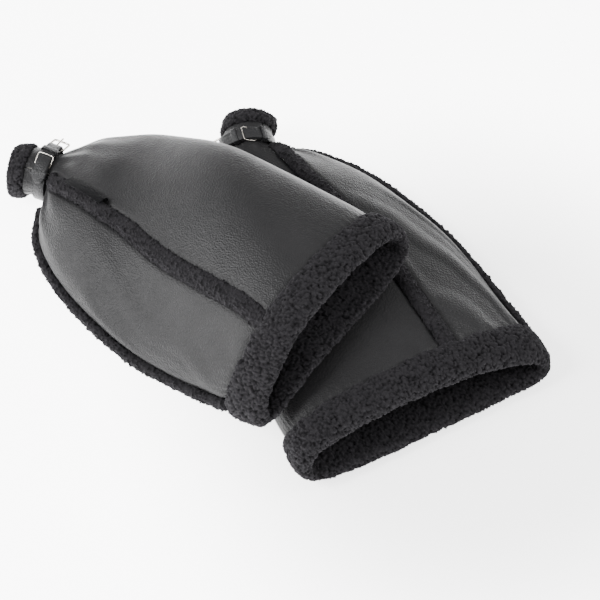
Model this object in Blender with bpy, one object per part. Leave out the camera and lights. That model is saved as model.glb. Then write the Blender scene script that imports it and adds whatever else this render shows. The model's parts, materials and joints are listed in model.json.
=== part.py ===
"""A pair of fleece-lined hand warmer muffs for a bicycle's handlebar.

The right muff lies flat. The left muff is its mirror image and lies partly on it.
Each muff is a soft tube: leather panels outside, wadding, then a fleece lining, with fleece
piping in two seams, a fleece collar at the neck, a fleece cuff at the mouth and a buckled
strap around the neck.

A muff's own coordinates: s counts the rows of ROWS from neck to cuff, v counts the points of
a row's section (0 at the side seam, 3 at the crest, 6 at the folded edge, 9 underneath), and
depth is the distance inwards from the leather's outer face.
Metres, +Z up.
"""

import math

import bmesh
import bpy
import numpy as np

MM = 0.001

# ---------------------------------------------------------------- placement of the two muffs
MUFF_ANGLE = math.radians(12.6)
RIGHT_NECK = (-0.1220, 0.0964)
LEFT_NECK = (-0.2312, -0.1105)

# ---------------------------------------------------------------- shape of one muff
# Each row in mm: side seam (x, y), folded edge (x, y), lowest and highest leather.
ROWS = (
    (-9.4, 26.4, -32.6, -17.4, 5.5, 48),
    (2.4, 18.9, -17.4, -28.9, 5, 49.5),
    (11, 14, -8, -34, 5, 49),
    (19.5, 12, 0.5, -36, 5, 49),
    (28, 10, 9, -38, 5, 49),
    (38, 30, 21, -60, 3.5, 52),
    (52, 53, 40, -86, 1, 60),
    (84, 76, 80, -108, 0, 71),
    (135, 98, 135, -118, 0, 75),
    (210, 118, 200, -124, 0, 75),
    (300, 126, 300, -131, 3, 73),
    (336, 127, 335, -131, 6.5, 72),
    (376, 126, 370, -131, 7.5, 70),
)
# Section of the body: sideways fraction of the half width, and fraction of the height.
BODY_SECTION = (
    (1.00, 0.27), (0.90, 0.57), (0.50, 0.88),
    (0.00, 1.00), (-0.47, 0.97), (-0.86, 0.80),
    (-1.00, 0.46), (-0.91, 0.13), (-0.50, 0.00),
    (0.00, 0.00), (0.50, 0.00), (0.91, 0.05),
)
SECTION_POINTS = 12
CREST = 3.0
UNDERNEATH = 9.0
LAYER_SPLIT = 6.9
NECK_ENDS = 3.5
BODY_STARTS = 7.0
MOUTH_SLANT = 22 * MM
SLANT_STARTS = 9.5
SLANT_ENDS = 12.0

# ---------------------------------------------------------------- how each muff has settled
RIGHT_HEIGHT = 0.76
RIGHT_LENGTH = 0.97
RIGHT_SEAM = ((0, 1.7), (4.6, 1.7), (6, 2.15), (7, 2.3), (12, 2.3))
LEFT_HEIGHT = 0.95
LEFT_SQUEEZE = 0.9
LEFT_SEAM = ((0, 2.2), (4.6, 2.2), (6, 2.42), (8, 2.55), (12, 2.0))

# ---------------------------------------------------------------- the left muff draped on the right one
DRAPE_HEIGHT = 67 * MM
DRAPE_NECK_SHARE = 0.9
DRAPE_NECK_LENGTH = 200 * MM
DRAPE_SQUASH = 0.25
DRAPE_OUTSIDE = 105 * MM
DRAPE_WIDTH = 160 * MM
DRAPE_EDGE_NECK = 30 * MM
DRAPE_EDGE_SPREAD = 100 * MM
DRAPE_EDGE_LENGTH = 88 * MM
DRAPE_EDGE_START = -10 * MM
DRAPE_EDGE_ROUNDING = 30 * MM

# ---------------------------------------------------------------- layers
LEATHER = 1.5 * MM
LAYER_GAP = 0.5 * MM
WADDING = 2.5 * MM
LINING = 5.0 * MM
WADDING_TOP = LEATHER + LAYER_GAP
WADDING_BOTTOM = WADDING_TOP + WADDING
LINING_TOP = WADDING_BOTTOM + LAYER_GAP
LINING_BOTTOM = LINING_TOP + LINING
SEAM_GAP = 0.6 * MM
LINING_SEAM_GAP = 3.0 * MM
CREST_GAP = 8.9 * MM
SIDE_GAP = 7.2 * MM
PIPING_STARTS = 4.5
STATIONS = (1, 2, 3, 4, 4.4, 4.65, 5.3, 6, 7, 8, 9, 10, 10.95)
SHARP_ANGLE = math.radians(40)
SIDE_CELLS = 4
MAIN_CELLS = 6
BOTTOM_CELLS = 7
DERIVATIVE_STEP = 0.02

# ---------------------------------------------------------------- fleece trims
# Profiles: (row, depth in mm) around a ring, (sideways, depth) in mm across a strip.
COLLAR_PROFILE = (
    (0.0, -0.5), (0.2, -3.5), (0.65, -3.5), (0.93, -2),
    (0.93, 7), (0.5, 8), (0.1, 7), (-0.05, 3),
)
CUFF_PROFILE = (
    (11.02, -2), (11.1, -6), (11.5, -7), (11.85, -5.5), (12.0, 0),
    (12.0, 4), (11.8, 7.5), (11.4, 8.5), (11.02, 8),
)
CUFF_SEAM_GAP = 0.16
CUFF_UPPER_CELLS = 12
CUFF_LOWER_CELLS = 9
COLLAR_CELLS = 18
CREST_PROFILE = (
    (8.3, 1.0), (8.3, -1.8), (5.0, -5.0), (0.0, -6.0),
    (-5.0, -5.0), (-8.3, -1.8), (-8.3, 1.0),
)
SIDE_PIPING_RADIUS = 5.3 * MM
SIDE_PIPING_OUT = 1.5 * MM
SIDE_PIPING_SIDES = 8
TRIM_STATIONS = (4.65, 5.3, 6, 7, 8, 9, 10, 10.95)

# ---------------------------------------------------------------- neck strap and its metalwork
STRAP_ROW = 3.0
STRAP_WIDTH = 14 * MM
STRAP_THICKNESS = 1.4 * MM
STRAP_LOW = 2.25 * MM
STRAP_HIGH = 5.15 * MM
STRAP_HUMP = 7.0 * MM
STRAP_START = 4.72
STRAP_END = 1.3
STRAP_CELLS = 58
STRAP_TIP = 0.45
BUCKLE_AT = 5.0
HUMP_RISES = 6.0
HUMP_FALLS = 4.2
SLOT_WIDTH = 3.6 * MM
SLOT_FROM = -2.5 * MM
SLOT_TO = 8.5 * MM
SLOT_LOW = 2.6 * MM
SLOT_HIGH = 12 * MM
BAR_HEIGHT = 3.2 * MM
BUCKLE_WIRE = 1.1 * MM
BUCKLE_HALF_WIDTH = 8.7 * MM
BUCKLE_LENGTH = 16 * MM
BUCKLE_CORNER = 2.2 * MM
WIRE_SIDES = 8
CORNER_CELLS = 3
BUCKLE_TILT = math.radians(30)
PRONG_TILT = math.radians(40)
PRONG_WIRE = 0.8 * MM
PRONG_LENGTH = 17.5 * MM
PRONG_EYE_OUTER = 2.1 * MM
PRONG_EYE_INNER = 1.45 * MM
PRONG_EYE_WIDTH = 2.4 * MM
PRONG_EYE_SIDES = 12
CHAPE_WIDTH = 13 * MM
CHAPE_SLEEVE_OUTER = 2.5 * MM
CHAPE_SLEEVE_INNER = 1.5 * MM
CHAPE_LEG_LOW = 3.3 * MM
CHAPE_LEG_HIGH = 4.1 * MM
CHAPE_LEG_LENGTH = 8.5 * MM
CHAPE_LEG_CLEAR = 0.3 * MM
CHAPE_LEG_CELLS = 3
CHAPE_GAP = 0.25
CHAPE_STEP = 0.1
CHAPE_CELLS = 10
CHAPE_NOTCH = 3.6 * MM
CHAPE_NOTCH_PAST = 0.6 * MM
CHAPE_NOTCH_HIGH = 7 * MM
KEEPER_AT = 3.95
KEEPER_WIDTH = 6 * MM
KEEPER_WALL = 0.8 * MM
KEEPER_GAP = 0.6 * MM
RING_AT = 3.0
RING_WIRE = 0.45 * MM
RING_HALF_WIDTH = 8.5 * MM
RING_LENGTH = 13.4 * MM
RING_CORNER = 2.6 * MM
RING_HEIGHT = 3.2 * MM
RING_TILT = math.radians(27)
SLIDING_KEEPER_AT = 1.95

# ---------------------------------------------------------------- woven label on the left muff
LABEL_ROWS = (6.3, 6.6, 7.0, 7.45)
LABEL_PROFILE = (
    (12.4, -0.7), (11.8, -4.0), (9.4, -6.7), (5.4, -8.2), (2.0, -8.6),
    (2.0, -7.6), (5.2, -7.2), (8.8, -5.8), (10.9, -3.5), (11.4, -0.7),
)


def smoothstep(t):
    t = np.clip(t, 0.0, 1.0)
    return t * t * (3.0 - 2.0 * t)


def catmull_rom(points, t, periodic=False):
    """Point at t of the smooth curve through points, where t counts the points."""
    points = np.asarray(points, float)
    count = len(points)
    if periodic:
        i = int(math.floor(t))
        p0, p1, p2, p3 = (points[(i + k) % count] for k in (-1, 0, 1, 2))
    else:
        i = int(min(max(math.floor(t), 0), count - 2))
        p1, p2 = points[i], points[i + 1]
        p0 = points[i - 1] if i > 0 else 2 * p1 - p2
        p3 = points[i + 2] if i + 2 < count else 2 * p2 - p1
    u = t - i
    return 0.5 * (2 * p1 + (p2 - p0) * u + (2 * p0 - 5 * p1 + 4 * p2 - p3) * u ** 2
                  + (3 * p1 - p0 - 3 * p2 + p3) * u ** 3)


def neck_section():
    """An ellipse with the same twelve points as BODY_SECTION."""
    turn = [2 * math.pi * i / SECTION_POINTS for i in range(SECTION_POINTS)]
    return [(math.cos(a), 0.5 + 0.5 * math.sin(a)) for a in turn]


def section(s, v):
    """Sideways fraction and height fraction of the section at row s."""
    body = smoothstep((s - NECK_ENDS) / (BODY_STARTS - NECK_ENDS))
    round_part = catmull_rom(neck_section(), v, periodic=True)
    flat_part = catmull_rom(BODY_SECTION, v, periodic=True)
    q, k = round_part * (1.0 - body) + flat_part * body
    return q, max(k, 0.0)


class Muff:
    """Maps a muff's own coordinates to the world."""

    def __init__(self, name, neck, angle, side, height, length, squeeze, seam, draped):
        self.name = name
        self.neck = neck
        self.angle = angle
        self.side = side
        self.height = height
        self.length = length
        self.squeeze = squeeze
        self.seam = seam
        self.draped = draped

    def crest_seam(self, s):
        """v of the centre piping at row s."""
        rows, values = zip(*self.seam)
        return float(np.interp(s, rows, values))

    def surface(self, s, v):
        """Leather's outer face in the muff's own frame, before mirroring."""
        seam_x, seam_y, fold_x, fold_y, low, high = catmull_rom(ROWS, s) * MM
        squeezed = self.squeeze * max(seam_x, 0.0)
        seam_x *= 1.0 - squeezed / 10
        seam_y *= 1.0 - squeezed
        q, k = section(s, v)
        slant = smoothstep((s - SLANT_STARTS) / (SLANT_ENDS - SLANT_STARTS))
        x = (seam_x + fold_x) / 2 + (seam_x - fold_x) / 2 * q - MOUTH_SLANT * slant * (k - 0.5)
        y = (seam_y + fold_y) / 2 + (seam_y - fold_y) / 2 * q
        settled = smoothstep((s - NECK_ENDS) / (BODY_STARTS - NECK_ENDS))
        z = low + (high - low) * k * (1.0 + (self.height - 1.0) * settled)
        return np.array((x * self.length, y, z))

    def own_point(self, s, v, depth):
        """Point at a depth below the leather's outer face, in the muff's own frame."""
        step = DERIVATIVE_STEP
        along = self.surface(s + step, v) - self.surface(s - step, v)
        around = self.surface(s, v + step) - self.surface(s, v - step)
        outward = np.cross(around, along)
        outward /= np.linalg.norm(outward)
        return self.surface(s, v) - outward * depth

    def to_world(self, own):
        """From the muff's own frame to the world, with the drape of the upper muff."""
        x, y, z = own
        y *= self.side
        c, n = math.cos(self.angle), math.sin(self.angle)
        world = np.array((self.neck[0] + x * c - y * n, self.neck[1] + x * n + y * c, z))
        if self.draped:
            lift = drape_lift(world[0], world[1])
            world[2] = lift + z * (1.0 - DRAPE_SQUASH * lift / DRAPE_HEIGHT)
        return world

    def point(self, s, v, depth=0.0):
        return self.to_world(self.own_point(s, v, depth))

    def v_step(self, s, v, distance):
        """How far v moves for a distance along the section."""
        step = DERIVATIVE_STEP
        span = np.linalg.norm(self.surface(s, v + step) - self.surface(s, v - step))
        return distance / span * 2 * step


def drape_lift(x, y):
    """How far the left muff is raised by the right muff under it."""
    c, n = math.cos(-MUFF_ANGLE), math.sin(-MUFF_ANGLE)
    dx, dy = x - RIGHT_NECK[0], y - RIGHT_NECK[1]
    along = dx * c + dy * n
    sideways = -dx * n + dy * c
    past = along - DRAPE_EDGE_START
    past = (past + math.hypot(past, DRAPE_EDGE_ROUNDING)) / 2
    spread = DRAPE_EDGE_SPREAD * (1 - math.exp(-past / DRAPE_EDGE_LENGTH))
    inside = sideways + DRAPE_EDGE_NECK + spread
    full = smoothstep(along / DRAPE_NECK_LENGTH)
    share = DRAPE_NECK_SHARE + (1.0 - DRAPE_NECK_SHARE) * full
    return DRAPE_HEIGHT * share * smoothstep((inside + DRAPE_OUTSIDE) / DRAPE_WIDTH)


RIGHT = Muff("right", RIGHT_NECK, -MUFF_ANGLE, 1, RIGHT_HEIGHT, RIGHT_LENGTH, 0.0, RIGHT_SEAM, False)
LEFT = Muff("left", LEFT_NECK, MUFF_ANGLE, -1, LEFT_HEIGHT, 1.0, LEFT_SQUEEZE, LEFT_SEAM, True)


# ---------------------------------------------------------------- mesh helpers
def material(name, color, roughness, metallic=0.0):
    found = bpy.data.materials.get(name)
    if found:
        return found
    made = bpy.data.materials.new(name)
    made.use_nodes = True
    shader = made.node_tree.nodes["Principled BSDF"]
    shader.inputs["Base Color"].default_value = (*color, 1.0)
    shader.inputs["Roughness"].default_value = roughness
    shader.inputs["Metallic"].default_value = metallic
    return made


def leather_material():
    return material("faux_leather", (0.035, 0.035, 0.037), 0.5)


def fleece_material():
    return material("fleece", (0.018, 0.017, 0.019), 0.95)


def wadding_material():
    return material("wadding", (0.55, 0.55, 0.53), 0.95)


def metal_material():
    return material("nickel", (0.55, 0.54, 0.51), 0.25, 1.0)


def label_material():
    return material("woven_label", (0.02, 0.018, 0.02), 0.8)


def make_object(name, vertices, faces, look, pivot=(0.0, 0.0, 0.0)):
    """A closed body whose origin is at the pivot, with its faces turned outwards."""
    mesh = bpy.data.meshes.new(name)
    shifted = [tuple(np.asarray(p, float) - np.asarray(pivot, float)) for p in vertices]
    mesh.from_pydata(shifted, [], faces)
    work = bmesh.new()
    work.from_mesh(mesh)
    bmesh.ops.recalc_face_normals(work, faces=work.faces)
    work.to_mesh(mesh)
    work.free()
    mesh.materials.append(look)
    mesh.shade_smooth()
    mesh.set_sharp_from_angle(angle=SHARP_ANGLE)
    obj = bpy.data.objects.new(name, mesh)
    obj.location = pivot
    bpy.context.collection.objects.link(obj)
    return obj


def spaced(start, end, cells):
    return [start + (end - start) * i / cells for i in range(cells + 1)]


def circle(sides):
    """Cosine and sine of evenly spaced angles."""
    turns = [2 * math.pi * k / sides for k in range(sides)]
    return [(math.cos(a), math.sin(a)) for a in turns]


def grid_faces(rows, columns, start=0, wrap=False):
    """Triangles over a grid of points, always split along the same diagonal."""
    faces = []
    for i in range(rows - 1):
        for j in range(columns if wrap else columns - 1):
            a = start + i * columns + j
            b = start + i * columns + (j + 1) % columns
            c, d = b + columns, a + columns
            faces += [(a, b, c), (a, c, d)]
    return faces


def shell(name, muff, columns, top, bottom, look):
    """A curved sheet between two depths, closed around its rim."""
    rows, count = len(STATIONS), len(columns(muff, STATIONS[0]))
    vertices = [muff.point(s, v, depth) for depth in (top, bottom)
                for s in STATIONS for v in columns(muff, s)]
    size = rows * count
    faces = grid_faces(rows, count) + grid_faces(rows, count, size)
    rim = list(range(count))
    rim += [i * count + count - 1 for i in range(1, rows)]
    rim += [(rows - 1) * count + j for j in range(count - 2, -1, -1)]
    rim += [i * count for i in range(rows - 2, 0, -1)]
    for a, b in zip(rim, rim[1:] + rim[:1]):
        faces += [(a, b, b + size), (a, b + size, a + size)]
    return make_object(name, vertices, faces, look)


def sweep(name, rings, look, closed=False, pivot=(0.0, 0.0, 0.0)):
    """A body through rings of points, with filled ends, or closed on itself."""
    sides = len(rings[0])
    vertices = [p for ring in rings for p in ring]
    if closed:
        faces = grid_faces(len(rings) + 1, sides, wrap=True)
        faces = [tuple(i % len(vertices) for i in face) for face in faces]
    else:
        faces = grid_faces(len(rings), sides, wrap=True)
        last = len(vertices) - sides
        faces.append(tuple(range(sides)))
        faces.append(tuple(range(last, last + sides)))
    return make_object(name, vertices, faces, look, pivot)


# ---------------------------------------------------------------- the soft shell
def crest_gap(s):
    return SEAM_GAP if s < PIPING_STARTS else CREST_GAP


def side_gap(s):
    return SEAM_GAP if s < PIPING_STARTS else SIDE_GAP


def side_columns(muff, s):
    """v of the side panel's columns, from the side seam up to the crest."""
    start = muff.v_step(s, 0.0, side_gap(s))
    seam = muff.crest_seam(s)
    return spaced(start, seam - muff.v_step(s, seam, crest_gap(s)), SIDE_CELLS)


def main_columns(muff, s):
    """v of the main panel's columns, from the crest over the folded edge."""
    seam = muff.crest_seam(s)
    start = seam + muff.v_step(s, seam, crest_gap(s))
    return spaced(start, LAYER_SPLIT - muff.v_step(s, LAYER_SPLIT, SEAM_GAP), MAIN_CELLS)


def bottom_columns(muff, s):
    """v of the bottom panel's columns, from the folded edge to the side seam."""
    start = LAYER_SPLIT + muff.v_step(s, LAYER_SPLIT, SEAM_GAP)
    end = SECTION_POINTS - muff.v_step(s, 0.0, side_gap(s))
    return spaced(start, end, BOTTOM_CELLS)


def lining_edge(muff, s):
    """How far in v the lining stays from the side seam."""
    return muff.v_step(s, 0.0, min(side_gap(s) / 2, LINING_SEAM_GAP))


def upper_columns(muff, s):
    return side_columns(muff, s) + main_columns(muff, s)


def upper_lining_columns(muff, s):
    return [lining_edge(muff, s)] + upper_columns(muff, s)


def lower_lining_columns(muff, s):
    return bottom_columns(muff, s) + [SECTION_POINTS - lining_edge(muff, s)]


def leather_panels(muff):
    look = leather_material()
    shell(muff.name + "_side_panel", muff, side_columns, 0.0, LEATHER, look)
    shell(muff.name + "_main_panel", muff, main_columns, 0.0, LEATHER, look)
    shell(muff.name + "_bottom_panel", muff, bottom_columns, 0.0, LEATHER, look)


def wadding_layers(muff):
    look = wadding_material()
    shell(muff.name + "_insulation_upper", muff, upper_columns, WADDING_TOP, WADDING_BOTTOM, look)
    shell(muff.name + "_insulation_lower", muff, bottom_columns, WADDING_TOP, WADDING_BOTTOM, look)


def lining_layers(muff):
    look = fleece_material()
    shell(muff.name + "_lining_upper", muff, upper_lining_columns, LINING_TOP, LINING_BOTTOM, look)
    shell(muff.name + "_lining_lower", muff, lower_lining_columns, LINING_TOP, LINING_BOTTOM, look)


# ---------------------------------------------------------------- fleece trims
def fleece_ring(name, muff, profile, columns, closed):
    rings = [[muff.point(s, v, depth * MM) for s, depth in profile] for v in columns]
    return sweep(name, rings, fleece_material(), closed)


def neck_collar(muff):
    columns = [SECTION_POINTS * i / COLLAR_CELLS for i in range(COLLAR_CELLS)]
    fleece_ring(muff.name + "_neck_collar", muff, COLLAR_PROFILE, columns, True)


def cuff(muff):
    """Two halves that meet at the side seam and under the folded edge."""
    upper = spaced(CUFF_SEAM_GAP, LAYER_SPLIT - CUFF_SEAM_GAP, CUFF_UPPER_CELLS)
    lower = spaced(LAYER_SPLIT + CUFF_SEAM_GAP, SECTION_POINTS - CUFF_SEAM_GAP, CUFF_LOWER_CELLS)
    fleece_ring(muff.name + "_cuff_upper", muff, CUFF_PROFILE, upper, False)
    fleece_ring(muff.name + "_cuff_lower", muff, CUFF_PROFILE, lower, False)


def crest_rings(muff, stations, profile):
    """The profile at each station, set out sideways from the crest seam."""
    rings = []
    for s in stations:
        seam = muff.crest_seam(s)
        scale = muff.v_step(s, seam, MM)
        rings.append([muff.point(s, seam + side * scale, depth * MM) for side, depth in profile])
    return rings


def centre_piping(muff):
    rings = crest_rings(muff, TRIM_STATIONS, CREST_PROFILE)
    sweep(muff.name + "_centre_piping", rings, fleece_material())


def side_piping(muff):
    rings = []
    for s in TRIM_STATIONS:
        centre = muff.point(s, 0.0, -SIDE_PIPING_OUT)
        outward = centre - muff.point(s, 0.0, 0.0)
        outward /= np.linalg.norm(outward)
        along = muff.point(s + DERIVATIVE_STEP, 0.0) - muff.point(s - DERIVATIVE_STEP, 0.0)
        across = np.cross(outward, along)
        across /= np.linalg.norm(across)
        rings.append([centre + SIDE_PIPING_RADIUS * (c * outward + n * across)
                      for c, n in circle(SIDE_PIPING_SIDES)])
    sweep(muff.name + "_side_piping", rings, fleece_material())


# ---------------------------------------------------------------- neck strap and its metalwork
class StrapFrame:
    """Axes at a place on the strap: width along the neck, run around it, and outwards."""

    def __init__(self, muff, v):
        before, after = STRAP_ROW - 0.5, STRAP_ROW + 0.5
        width = muff.point(after, CREST) - muff.point(before, CREST)
        width += muff.point(after, UNDERNEATH) - muff.point(before, UNDERNEATH)
        width[2] = 0.0
        self.width = width / np.linalg.norm(width)
        self.foot = muff.point(STRAP_ROW, v)
        run = muff.point(STRAP_ROW, v + DERIVATIVE_STEP) - muff.point(STRAP_ROW, v - DERIVATIVE_STEP)
        run -= self.width * np.dot(run, self.width)
        self.run = run / np.linalg.norm(run)
        outward = np.cross(self.run, self.width)
        away = muff.point(STRAP_ROW, v, -MM) - self.foot
        self.outward = outward if np.dot(outward, away) > 0 else -outward

    def at(self, width, run, outward):
        return self.foot + width * self.width + run * self.run + outward * self.outward


def strap_level(turned):
    """Height of the strap's middle above the leather, by how far it has gone around."""
    rise = smoothstep((turned - (SECTION_POINTS + STRAP_START - HUMP_RISES))
                      / (HUMP_RISES - BUCKLE_AT))
    fall = smoothstep((turned - (SECTION_POINTS + STRAP_START - BUCKLE_AT))
                      / (BUCKLE_AT - HUMP_FALLS))
    return STRAP_LOW + (STRAP_HUMP - STRAP_LOW) * rise - (STRAP_HUMP - STRAP_HIGH) * fall


def strap_rings(muff):
    """Cross-sections of the strap from the buckle once around the neck and onto itself."""
    total = SECTION_POINTS + STRAP_START - STRAP_END
    rings = []
    for i in range(STRAP_CELLS + 1):
        turned = total * i / STRAP_CELLS
        frame = StrapFrame(muff, STRAP_START - turned)
        middle, half = strap_level(turned), STRAP_THICKNESS / 2
        wide = STRAP_WIDTH / 2
        if i == STRAP_CELLS:
            wide *= STRAP_TIP
        rings.append([frame.at(-wide, 0, middle - half), frame.at(wide, 0, middle - half),
                      frame.at(wide, 0, middle + half), frame.at(-wide, 0, middle + half)])
    return rings


def cut(body, cutter):
    cutter.hide_render = True
    cutter.display_type = "WIRE"
    boolean = body.modifiers.new("cut", "BOOLEAN")
    boolean.operation = "DIFFERENCE"
    boolean.solver = "EXACT"
    boolean.object = cutter


def block(name, frame, width, run, outward):
    """A box in a strap frame's axes, given as three (from, to) pairs."""
    rings = [[frame.at(w, run[0], outward[0]), frame.at(w, run[1], outward[0]),
              frame.at(w, run[1], outward[1]), frame.at(w, run[0], outward[1])] for w in width]
    return sweep(name, rings, leather_material())


def neck_strap(muff):
    strap = sweep(muff.name + "_neck_strap", strap_rings(muff), leather_material())
    frame = StrapFrame(muff, BUCKLE_AT)
    slot = block(muff.name + "_prong_slot", frame, (-SLOT_WIDTH / 2, SLOT_WIDTH / 2),
                 (SLOT_FROM, SLOT_TO), (SLOT_LOW, SLOT_HIGH))
    cut(strap, slot)


def bent(muff, width, run, outward):
    """A point of the chape: straight around the bar, then bent along the strap."""
    straight = max(run, -CHAPE_SLEEVE_OUTER)
    v = BUCKLE_AT + muff.v_step(STRAP_ROW, BUCKLE_AT, run - straight)
    return StrapFrame(muff, v).at(width, straight, outward)


def buckle_chape(muff):
    """Leather sleeve around the buckle's bar with a leg on the strap, notched for the prong."""
    frame = StrapFrame(muff, BUCKLE_AT)
    outer, inner = CHAPE_SLEEVE_OUTER, CHAPE_SLEEVE_INNER
    top = math.pi - math.asin((CHAPE_LEG_HIGH - BAR_HEIGHT) / outer)
    end = CHAPE_GAP - math.pi
    outline = []
    for turn in spaced(top, end, CHAPE_CELLS):
        outline.append((outer * math.cos(turn), BAR_HEIGHT + outer * math.sin(turn)))
    for turn in spaced(end, top - CHAPE_STEP, CHAPE_CELLS):
        outline.append((inner * math.cos(turn), BAR_HEIGHT + inner * math.sin(turn)))
    leg = spaced(-outer - CHAPE_LEG_CLEAR, -CHAPE_LEG_LENGTH, CHAPE_LEG_CELLS)
    outline += [(run, CHAPE_LEG_LOW) for run in leg]
    outline += [(run, CHAPE_LEG_HIGH) for run in reversed(leg)]
    rings = [[bent(muff, w, run, height) for run, height in outline]
             for w in (-CHAPE_WIDTH / 2, CHAPE_WIDTH / 2)]
    chape = sweep(muff.name + "_buckle_chape", rings, leather_material())
    notch = block(muff.name + "_chape_notch", frame, (-CHAPE_NOTCH / 2, CHAPE_NOTCH / 2),
                  (-outer - CHAPE_NOTCH_PAST, outer + MM), (0.0, CHAPE_NOTCH_HIGH))
    cut(chape, notch)


def wire_rings(path, radius, guide):
    """Circles of points along a closed path, each square to it."""
    rings = []
    for i, p in enumerate(path):
        along = path[(i + 1) % len(path)] - path[i - 1]
        along /= np.linalg.norm(along)
        out = guide - along * np.dot(guide, along)
        out /= np.linalg.norm(out)
        across = np.cross(along, out)
        rings.append([p + radius * (c * out + n * across) for c, n in circle(WIRE_SIDES)])
    return rings


def rounded_rectangle(half_width, low, high, corner):
    """Outline points (sideways, upwards) of a rectangle with round corners."""
    centres = ((half_width - corner, high - corner, 0), (-half_width + corner, high - corner, 1),
               (-half_width + corner, low + corner, 2), (half_width - corner, low + corner, 3))
    points = []
    for x, y, quarter in centres:
        for a in spaced(math.pi / 2 * quarter, math.pi / 2 * (quarter + 1), CORNER_CELLS):
            points.append((x + corner * math.cos(a), y + corner * math.sin(a)))
    return points


def tilted(frame, tilt, width, run, lift=0.0):
    """A point of the buckle, turned about its bar."""
    return frame.at(width, run * math.cos(tilt) - lift * math.sin(tilt),
                    BAR_HEIGHT + run * math.sin(tilt) + lift * math.cos(tilt))


def buckle_frame(muff):
    frame = StrapFrame(muff, BUCKLE_AT)
    outline = rounded_rectangle(BUCKLE_HALF_WIDTH, 0.0, BUCKLE_LENGTH, BUCKLE_CORNER)
    path = [tilted(frame, BUCKLE_TILT, w, r) for w, r in outline]
    guide = tilted(frame, BUCKLE_TILT, 0, 0, 1.0) - tilted(frame, BUCKLE_TILT, 0, 0, 0.0)
    rings = wire_rings(path, BUCKLE_WIRE, guide)
    sweep(muff.name + "_buckle_frame", rings, metal_material(), True, frame.at(0, 0, BAR_HEIGHT))


def buckle_prong(muff):
    """An eye around the bar with a wire that reaches over the frame."""
    frame = StrapFrame(muff, BUCKLE_AT)
    half = math.asin(PRONG_WIRE / PRONG_EYE_OUTER)
    outline = []
    for turn in spaced(half, 2 * math.pi - half, PRONG_EYE_SIDES):
        outline.append((PRONG_EYE_OUTER * math.cos(turn), PRONG_EYE_OUTER * math.sin(turn)))
    outline += [(PRONG_LENGTH, -PRONG_WIRE), (PRONG_LENGTH + PRONG_WIRE, 0.0), (PRONG_LENGTH, PRONG_WIRE)]
    rings = [[tilted(frame, PRONG_TILT, w, r, lift) for r, lift in outline]
             for w in (-PRONG_EYE_WIDTH / 2, PRONG_EYE_WIDTH / 2)]
    pivot = frame.at(0, 0, BAR_HEIGHT)
    prong = sweep(muff.name + "_buckle_prong", rings, metal_material(), False, pivot)
    hole = [[tilted(frame, 0.0, w, PRONG_EYE_INNER * c, PRONG_EYE_INNER * n)
             for c, n in circle(PRONG_EYE_SIDES)]
            for w in (-PRONG_EYE_WIDTH, PRONG_EYE_WIDTH)]
    cut(prong, sweep(muff.name + "_prong_eye", hole, metal_material()))


def keeper(name, muff, v, high, pivot_on_strap=False):
    """A flat loop around both layers of the strap."""
    frame = StrapFrame(muff, v)
    low = STRAP_LOW - STRAP_THICKNESS / 2 - KEEPER_GAP - KEEPER_WALL
    top = high + STRAP_THICKNESS / 2 + KEEPER_GAP + KEEPER_WALL
    wide = STRAP_WIDTH / 2 + KEEPER_GAP + KEEPER_WALL
    loop = ((-wide, low), (wide, low), (wide, top), (-wide, top))
    rings = []
    for w, h in loop:
        wi = math.copysign(abs(w) - KEEPER_WALL, w)
        hi = h + KEEPER_WALL if h == low else h - KEEPER_WALL
        rings.append([frame.at(w, -KEEPER_WIDTH / 2, h), frame.at(w, KEEPER_WIDTH / 2, h),
                      frame.at(wi, KEEPER_WIDTH / 2, hi), frame.at(wi, -KEEPER_WIDTH / 2, hi)])
    pivot = frame.at(0, 0, (low + top) / 2) if pivot_on_strap else (0.0, 0.0, 0.0)
    return sweep(name, rings, leather_material(), True, pivot)


def strap_ring(muff):
    """Oval wire loop that leans along the strap, under it at one end and over it at the other."""
    frame = StrapFrame(muff, RING_AT)
    outline = rounded_rectangle(RING_HALF_WIDTH, -RING_LENGTH / 2, RING_LENGTH / 2, RING_CORNER)
    slope, rise = math.cos(RING_TILT), math.sin(RING_TILT)
    path = [frame.at(w, r * slope, RING_HEIGHT + r * rise) for w, r in outline]
    rings = wire_rings(path, RING_WIRE, frame.outward)
    sweep(muff.name + "_strap_ring", rings, metal_material(), True, frame.at(0, 0, RING_HEIGHT))


def strap_and_buckle(muff):
    neck_strap(muff)
    buckle_chape(muff)
    buckle_frame(muff)
    buckle_prong(muff)
    keeper(muff.name + "_strap_keeper", muff, KEEPER_AT, STRAP_HIGH)
    strap_ring(muff)
    keeper(muff.name + "_sliding_keeper", muff, SLIDING_KEEPER_AT, STRAP_HIGH, True)


# ---------------------------------------------------------------- label
def label_tab(muff):
    """Plain tab, sewn along the main panel's edge and folded over the centre piping."""
    rings = crest_rings(muff, LABEL_ROWS, LABEL_PROFILE)
    sweep(muff.name + "_label_tab", rings, label_material())


def build_muff(muff):
    leather_panels(muff)
    wadding_layers(muff)
    lining_layers(muff)
    neck_collar(muff)
    cuff(muff)
    centre_piping(muff)
    side_piping(muff)
    strap_and_buckle(muff)


def main():
    for old in list(bpy.data.objects):
        bpy.data.objects.remove(old, do_unlink=True)
    build_muff(RIGHT)
    build_muff(LEFT)
    label_tab(LEFT)


main()
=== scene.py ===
"""Looks for a pair of fleece-lined leather muffs for a bicycle's handlebar.

Every soft piece is made from the same formulas as the CAD solids it replaces, with many more
points. A muff's own coordinates: s counts the rows of ROWS from neck to cuff, v counts the
points of a row's section (0 at the side seam, 3 at the crest, 6 at the folded edge, 9
underneath), and depth is the distance inwards from the leather's outer face.
Metres, +Z up.
"""

import itertools
import json
import math

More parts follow.
